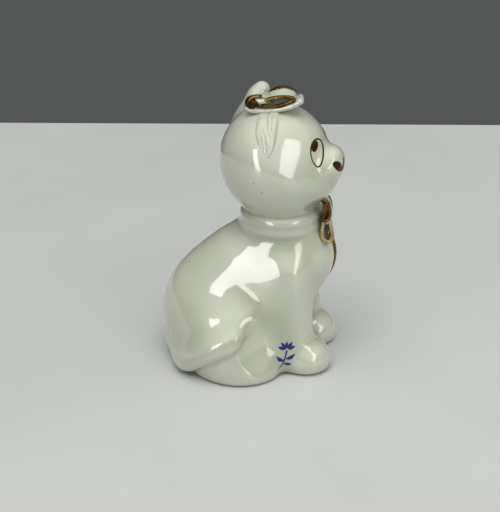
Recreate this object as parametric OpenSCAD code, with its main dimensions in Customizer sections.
// Seated animal figurine in glazed ceramic, with a ribbon bow at the neck and
// another on the head. The hollow castings and the pressed pieces are separate
// solids that meet face to face where they are joined with slip before firing.
// The animal faces -Y, its right side is -X, and it rests on Z = 0.

/* [Body] */
// Width across the two haunches
body_w = 47; // [45:0.5:49]
// Distance from the rump to the front of the chest
body_l = 51; // [50:0.5:52]
// Height of the joint between the body and the head
neck_h = 44; // [43:0.5:45]
// Width of the neck under the ribbon
neck_w = 19; // [18:0.5:20]
// Thickness of the cast wall
wall = 2.6; // [2:0.2:3]
// Thickness of the closed foot
foot_t = 3; // [2:0.5:4]
// Width of the vent hole in the foot
vent_w = 5; // [4:0.5:7]

/* [Head] */
// Width of the head across the cheeks
head_w = 31; // [30:0.5:32]
// Height of the skull's middle above the table
head_h = 60; // [59.5:0.25:60.5]
// Distance from the back of the head to the tip of the muzzle
head_l = 34; // [33:0.5:35]
// Height of the upright ear's tip above the table
ear_h = 79.6; // [78:0.2:80]
// Width of the upright ear at its root
ear_w = 9; // [8:0.5:10]

/* [Legs and tail] */
// Distance between the middles of the two paws
paw_gap = 17.2; // [16.6:0.2:17.8]
// Width of a paw
paw_w = 13.2; // [12.6:0.2:13.6]
// Distance from the origin to the front of the paws
paw_reach = 24.6; // [24:0.2:25]
// Thickness of the tail at its root
tail_w = 6.4; // [6:0.2:7]

/* [Ribbon] */
// Height of the ribbon round the neck
band_h = 6.4; // [6:0.2:7]
// Width over the ribbon round the neck
band_w = 23; // [22.4:0.2:23.6]
// Width of the ribbon that the bows are folded from
ribbon_w = 6.4; // [6:0.2:7]
// Thickness of the ribbon that the bows are folded from
ribbon_t = 1.1; // [0.9:0.1:1.3]
// Distance from the middle of the neck bow to the open rim of a loop
neck_loop_l = 5.6; // [5:0.2:6.4]
// Height of the open rim of a neck bow loop
neck_loop_h = 7.4; // [7:0.2:8]
// Length of the ribbon end that lies on the chest
chest_end_l = 19; // [17:0.5:20]
// Length of the front loop of the head bow
front_loop_l = 8.5; // [8:0.25:9]
// Length of the rear loop of the head bow
rear_loop_l = 4.2; // [4:0.1:4.6]

/* [View] */
// Piece to draw

/* [Hidden] */

glaze = [0.87, 0.87, 0.81];
gilt = [0.52, 0.36, 0.14];

// Points round one level of a casting, and levels up each casting
around = 44;
body_levels = 22;
head_levels = 18;
// Width over which two rounded forms blend into each other
body_blend = 7;
head_blend = 4.5;

neck_y = -9.5;
body_y = 0;
side_x = body_w / 2;

// Every form is an ellipsoid: [middle, radii]
neck_form = [[0, neck_y, neck_h], [neck_w / 2, neck_w / 2, 13]];
function haunch_form(side) = [[side * (side_x - 11.5), 2.6, 8], [11.5, 13.8, 14]];
function hind_foot_form(side) = [[side * (side_x - 9.5), -1, 1], [8, 9.5, 6]];
body_forms = [
    [[0, body_l / 2 - 17.1, 12.5], [16, 17.2, 20.5]],
    [[0, -3, 26.5], [12.5, 16.3, 15.5]],
    [[0, -body_l / 2 + 10.6, 32], [9.5, 9.7, 11]],
    haunch_form(-1), haunch_form(1), hind_foot_form(-1), hind_foot_form(1),
    neck_form];
skull_y = -7.2;
muzzle_y = 7.8 - head_l;
// The head looks a little to its right
muzzle_x = -2;
head_forms = [
    [[0, skull_y, head_h], [head_w / 2, 14.7, 15.4]],
    [[muzzle_x, muzzle_y + 4.2, 60.8], [6, 4.2, 4.8]],
    [[0, -11.5, 55.5], [12.5, 11.2, 9.5]],
    neck_form];

// Signed distance from a point to an ellipsoid, close to exact near its skin
function egg(p, form) =
    let (d = p - form[0], r = form[1],
         k = norm([for (i = [0:2]) d[i] / r[i]]),
         m = norm([for (i = [0:2]) d[i] / r[i] / r[i]]))
    m < 0.001 ? -min(r) : k * (k - 1) / m;

// The smaller of two distances, rounded over where they are nearly equal
function soft_min(a, b, blend) =
    min(a, b) - pow(max(blend - abs(a - b), 0), 2) / blend / 4;
function to_skin(p, forms, i = 0) = i == len(forms) - 1 ? egg(p, forms[i])
    : soft_min(egg(p, forms[i]), to_skin(p, forms, i + 1),
        len(forms) == len(head_forms) ? head_blend : body_blend);

// The spine of the body leans forward, the spine of the head runs back up
function spine_y(z) = z < neck_h ? body_y + (neck_y - body_y) * z / neck_h
    : neck_y + (skull_y - neck_y) * min(1, (z - neck_h) / 10);
function forms_at(z) = z > neck_h ? head_forms : body_forms;
function at_angle(z, angle, r) = [r * cos(angle), spine_y(z) + r * sin(angle), z];

// Distance from the spine to the skin, found by stepping in from outside
function skin_r(forms, z, angle, inset = 0, r = 34, steps = 40) =
    let (gap = to_skin(at_angle(z, angle, r), forms) + inset)
    r < 0.3 ? 0.3 : steps == 0 || gap < 0.01 ? r
    : skin_r(forms, z, angle, inset, r - gap, steps - 1);
function skin_point(forms, z, angle, out = 0, inset = 0) =
    at_angle(z, angle, skin_r(forms, z, angle, inset) + out);
function ring(forms, z, inset = 0) =
    [for (i = [0:around - 1]) skin_point(forms, z, 360 * i / around, 0, inset)];

function rise(low, high, n) = [for (i = [0:n]) low + (high - low) * i / n];
// Levels that close up towards the top of a dome
function dome(low, high, n) =
    [for (i = [0:n]) low + (high - low) * (0.5 - cos(180 * i / n) / 2) * 0.999];

// Faces that join row to row of a list of rings, all with the same number of points
function side_faces(rows, n, wrap = true) =
    [for (j = [0:rows - 2], i = [0:n - (wrap ? 1 : 2)])
        let (k = (i + 1) % n) each [
            [j * n + i, (j + 1) * n + k, j * n + k],
            [j * n + i, (j + 1) * n + i, (j + 1) * n + k]]];
function row_face(j, n, up) = [for (i = [0:n - 1]) j * n + (up ? n - 1 - i : i)];
function joined(rows) = [for (row = rows) each row];
function backwards(rows) = [for (i = [len(rows) - 1:-1:0]) rows[i]];

// A solid skinned over a list of rings and closed flat at both ends
module skinned(rows) {
    n = len(rows[0]);
    polyhedron(joined(rows), [each side_faces(len(rows), n),
        row_face(0, n, false), row_face(len(rows) - 1, n, true)], convexity = 8);
}

// Faces that close one end of a plate, from its first edge to its last
function end_faces(j, n, up) = [for (i = [0:n / 2 - 2])
    let (face = [i, i + 1, n - 2 - i, n - 1 - i])
    [for (k = up ? [3:-1:0] : [0:3]) j * n + face[k]]];

// A plate between two grids of points that share their rows and columns
module plate(inner, outer) {
    rows = [for (j = [0:len(inner) - 1]) concat(inner[j], backwards(outer[j]))];
    n = len(rows[0]);
    polyhedron(joined(rows), [each side_faces(len(rows), n),
        each end_faces(0, n, false), each end_faces(len(rows) - 1, n, true)], convexity = 8);
}

// A closed band between two stacks of rings
module band(inner, outer) {
    rows = concat(outer, backwards(inner));
    n = len(rows[0]);
    m = len(rows);
    polyhedron(joined(rows), [each side_faces(m, n),
        for (i = [0:n - 1]) let (k = (i + 1) % n) each [
            [(m - 1) * n + i, k, (m - 1) * n + k],
            [(m - 1) * n + i, i, k]]], convexity = 8);
}

// The outside of the body as a full solid, which other pieces are fitted to
module body_outside() {
    skinned([for (z = rise(0, neck_h, body_levels)) ring(body_forms, z)]);
}

module body_casting() {
    outer = [for (z = rise(0, neck_h, body_levels)) ring(body_forms, z)];
    inner = [for (z = rise(foot_t, neck_h, body_levels)) ring(body_forms, z, wall)];
    color(glaze) difference() {
        skinned(concat(outer, backwards(inner)));
        translate([0, body_y, -1]) cylinder(h = foot_t + 2, d = vent_w, $fn = 32);
    }
}

head_top = head_h + head_forms[0][1][2];
module head_outside() {
    skinned([for (z = dome(neck_h, head_top, head_levels)) ring(head_forms, z)]);
}

module head_casting() {
    outer = [for (z = dome(neck_h, head_top, head_levels)) ring(head_forms, z)];
    inner = [for (z = dome(neck_h, head_top - wall, head_levels)) ring(head_forms, z, wall)];
    color(glaze) skinned(concat(backwards(inner), outer));
}

// A chain of balls: each stop is [middle, radii]
module chain(stops) {
    for (i = [0:len(stops) - 2])
        hull() for (stop = [stops[i], stops[i + 1]])
            translate(stop[0]) scale(stop[1]) sphere(r = 1, $fn = 24);
}

// Stops between two lists of stops, so that a chain bends smoothly
function between(a, b, t) = [a[0] + (b[0] - a[0]) * t, a[1] + (b[1] - a[1]) * t];
function halfway(stops) = [for (i = [0:len(stops) - 2]) each
    [stops[i], between(stops[i], stops[i + 1], 0.5)], stops[len(stops) - 1]];

module foreleg(side) {
    x = side * paw_gap / 2;
    paw_l = 14;
    leg = [
        [[x * 0.9, -13.2, 29], [5.2, 5.6, 6.4]],
        [[x * 1.02, -14.4, 22], [4.9, 5.2, 5]],
        [[x * 1.04, -15, 14], [4.8, 4.8, 5]],
        [[x, -15.4, 8], [5, 5, 5]],
        [[x, paw_l / 2 - paw_reach, 3.2], [paw_w / 2, paw_l / 2, 6.4]]];
    color(glaze) difference() {
        chain(halfway(leg));
        body_outside();
        translate([-50, -50, -20]) cube([100, 100, 20]);
    }
}

module right_foreleg() { foreleg(-1); }
module left_foreleg() { foreleg(1); }

module tail() {
    r = tail_w / 2;
    path = [
        [[1.5, 22.2, 17], [r * 0.7, r * 0.7, r]],
        [[0.5, 23.1, 12], [r * 0.95, r * 0.95, r]],
        [[-4, 21.8, 6], [r, r, r]],
        [[-9.5, 19, 3.5], [r, r, r]],
        [[7.4 - side_x, 15.8, 3.7], [r, r, r]],
        [[4 - side_x, 11.6, 6.6], [r, r, r]],
        [[2.4 - side_x, 7, 9.6], [r * 0.94, r * 0.94, r * 0.94]],
        [[2.2 - side_x, 3.2, 11.6], [r * 0.8, r * 0.8, r * 0.8]],
        [[2.6 - side_x, 1, 12.5], [r * 0.6, r * 0.6, r * 0.6]]];
    color(glaze) difference() {
        chain(halfway(path));
        body_outside();
        translate([-50, -50, -20]) cube([100, 100, 20]);
    }
}

module left_ear() {
    x = head_w * 0.27;
    r = ear_w / 2;
    ear = [
        [[x - 0.6, -1, 69], [r * 1.05, r * 0.85, r]],
        [[x - 0.3, -1.6, 73.5], [r, r * 0.7, r]],
        [[x, -2.6, ear_h - 2.2], [r * 0.52, r * 0.5, 2.2]]];
    color(glaze) difference() {
        chain(halfway(halfway(halfway(ear))));
        head_outside();
    }
}

// The lowered ear is a pointed plate pressed onto the side of the head
module right_ear() {
    rows = 14;
    cols = 8;
    thick = 0.9;
    root_z = head_h + 13.8;
    tip_z = head_h + 6.2;
    middle = 179;
    function height(t) = root_z + (tip_z - root_z) * t;
    function half_angle(t) = 36 * (1 - t) / (1 + 2 * t) + 3 + 10 * (1 - t);
    function ear_grid(out) = [for (j = [rows:-1:0]) let (t = j / rows)
        [for (i = [0:cols]) let (s = 2 * i / cols - 1)
            skin_point(head_forms, height(t), middle + half_angle(t) * s,
                out * (1 - 0.75 * pow(s, 4)) * (1 - 0.6 * pow(t, 6)))]];
    color(glaze) plate(ear_grid(thick), ear_grid(0));
}

module neck_ribbon() {
    low = neck_h - band_h * 0.52;
    levels = 10;
    fold = 0.35;
    function height(j) = low + band_h * j / levels;
    inner = [for (j = [0:levels]) ring(forms_at(height(j)), height(j))];
    function bulge(j) = band_w / 2 - 1.2 + 1.2 * sin(180 * j / levels)
        + fold * cos(720 * j / levels);
    outer = [for (j = [0:levels]) let (z = height(j)) [for (i = [0:around - 1])
        let (angle = 360 * i / around)
        at_angle(z, angle, max(bulge(j), skin_r(forms_at(z), z, angle) + 0.6))]];
    color(glaze) band(inner, outer);
}

// One loop of a bow: a folded strip, narrow at the knot end and open along X
module bow_loop(long, high, wide) {
    n = 28;
    function drop(l, h) = [for (i = [0:n - 1]) let (a = 360 * i / n)
        [l * (1 - cos(a)) / 2, h / 2 * sin(a) * (0.35 + 0.65 * sin(a / 2))]];
    rotate([90, 0, 0]) linear_extrude(height = wide, center = true) difference() {
        polygon(drop(long, high));
        translate([ribbon_t, 0]) polygon(drop(long - 2 * ribbon_t, high - 2 * ribbon_t));
    }
}

// A strip of ribbon along a path of [forward, up] stops, as wide as the ribbon
module strip(path, wide) {
    n = len(path);
    half = ribbon_t / 2 + 0.2;
    function across(i) = let (d = path[min(i + 1, n - 1)] - path[max(i - 1, 0)])
        [-d[1], d[0]] * half / norm(d);
    rotate([90, 0, -90]) linear_extrude(height = wide, center = true)
        polygon([for (i = [0:n - 1]) path[i] + across(i),
            for (i = [n - 1:-1:0]) path[i] - across(i)]);
}

neck_bow = [0, -22.2, neck_h - 0.2];

// An oval across X at [x, [ahead, up] from the bow's middle, radii], leaning back as it rises
function oval(x, middle, radii, lean = 0.16, n = 32) = [for (i = [0:n - 1])
    let (a = radii[0] * cos(360 * i / n), b = radii[1] * sin(360 * i / n))
    neck_bow + [x, lean * b - a - middle[0], middle[1] + b]];
function wider(radii, by) = [radii[0] + by, radii[1] + by];

// A fold of ribbon that is closed beside the knot and opens sideways like a trumpet
module trumpet(side, root, rim, reach) {
    half = ribbon_t / 2;
    function at(x) = let (t = (x - 0.9) / (reach - 0.9)) pow(t, 0.85);
    function part_way(x, by) = oval(side * x, root[0] + (rim[0] - root[0]) * at(x),
        wider(root[1] + (rim[1] - root[1]) * at(x), by));
    function rings(low, high, by) = let (xs = rise(low, high, 6),
        list = [for (x = xs) part_way(x, by)]) side > 0 ? backwards(list) : list;
    difference() {
        skinned(rings(0.9, reach, half));
        skinned(rings(2.2, reach + 0.3, -half));
    }
}

module neck_bow_loop(side, shift) {
    color(glaze) trumpet(side, [[0.25, 1.4] + shift * 0.4, [0.6, 0.9]],
        [[0.4, 4.2] + shift, [1.15, neck_loop_h / 2 - ribbon_t / 2]], neck_loop_l);
}
module neck_bow_right_loop() { neck_bow_loop(-1, [0, 0]); }
module neck_bow_left_loop() { neck_bow_loop(1, [-0.8, -2.6]); }

module neck_bow_knot() {
    color(gilt) translate(neck_bow) scale([1.8, 1.9, 2.5]) sphere(r = 1, $fn = 32);
}

// The short end curls under itself beside the knot
module neck_bow_right_end() {
    color(gilt) trumpet(-1, [[0.55, -1.2], [0.55, 0.9]], [[0.8, -2.6], [1.4, 3.1]],
        neck_loop_l - 0.2);
}

// The long end follows the left half of the chest down from the knot
module neck_bow_left_end() {
    rows = 12;
    cols = 5;
    top_z = neck_h - 2.5;
    function from_middle(t) = 274 + 6 * t * t;
    function width(t) = 8.5 + 12 * t * (1.5 - t);
    function end_grid(out) = [for (j = [rows:-1:0]) let (t = j / rows)
        [for (i = [0:cols]) skin_point(body_forms, top_z - chest_end_l * t,
            from_middle(t) + width(t) * i / cols, out)]];
    color(glaze) plate(end_grid(ribbon_t), end_grid(0));
}

head_bow = [-2.8, -5.2, 77.6];
bow_roll = 9;
module on_head(shift = 0) {
    translate(head_bow) rotate([0, -bow_roll, 0]) translate([0, shift, 0]) children();
}
module head_bow_front_loop() {
    color(glaze) on_head(0.6) rotate([-7, 0, 0]) rotate([0, 0, -90])
        bow_loop(front_loop_l, 3.8, ribbon_w);
}
module head_bow_rear_loop() {
    color(glaze) on_head(1.2) rotate([0, 0, 90]) bow_loop(rear_loop_l, 4.2, ribbon_w);
}
module head_bow_knot() {
    color(glaze) on_head() scale([3.6, 1.6, 1.8]) sphere(r = 1, $fn = 32);
}
module head_bow_front_end() {
    color(glaze) translate([head_bow[0], 0, 0])
        strip([[5.2, 75.8], [7.6, 75.9], [9.8, 76.3], [12, 76.9], [14, 77.8], [15.4, 78.6]],
            ribbon_w);
}
module head_bow_rear_end() {
    color(glaze) translate([head_bow[0], 0, 0])
        strip([[1, 76.5], [2.2, 75.9], [3.6, 75.7], [5.1, 75.8]], ribbon_w);
}

body_casting();
right_foreleg();
left_foreleg();
tail();
head_casting();
left_ear();
right_ear();
neck_ribbon();
neck_bow_right_loop();
neck_bow_left_loop();
neck_bow_knot();
neck_bow_right_end();
neck_bow_left_end();
head_bow_front_loop();
head_bow_rear_loop();
head_bow_knot();
head_bow_front_end();
head_bow_rear_end();
